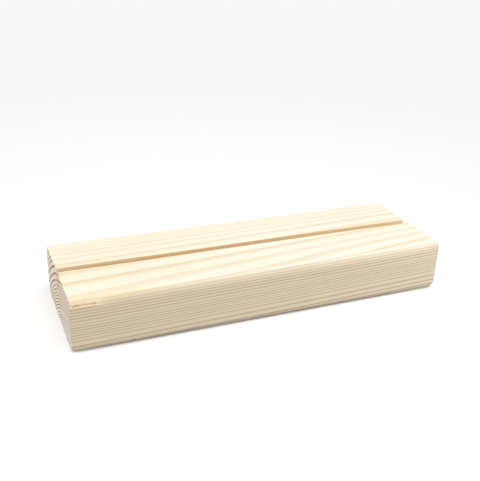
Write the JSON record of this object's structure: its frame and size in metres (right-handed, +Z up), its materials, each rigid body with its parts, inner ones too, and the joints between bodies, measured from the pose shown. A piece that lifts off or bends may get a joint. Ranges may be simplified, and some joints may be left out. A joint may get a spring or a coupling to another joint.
{
  "type": "wooden sign holder",
  "caption": "Length of planed softwood with rounded long edges and a saw-cut slot along its top, which holds a card, board or acrylic sheet upright on a table.",
  "frame": {"origin": "middle of the flat underside, on the surface that the block stands on", "axes": "+X along the slot, to the right as seen from the front; +Y towards the back; +Z up, out of the slot's mouth"},
  "size_m": [0.15, 0.048, 0.021],
  "materials": {
    "pine": "planed, unfinished"
  },
  "bodies": {
    "root": {"slotted_block": "pine"}
  },
  "joints": []
}
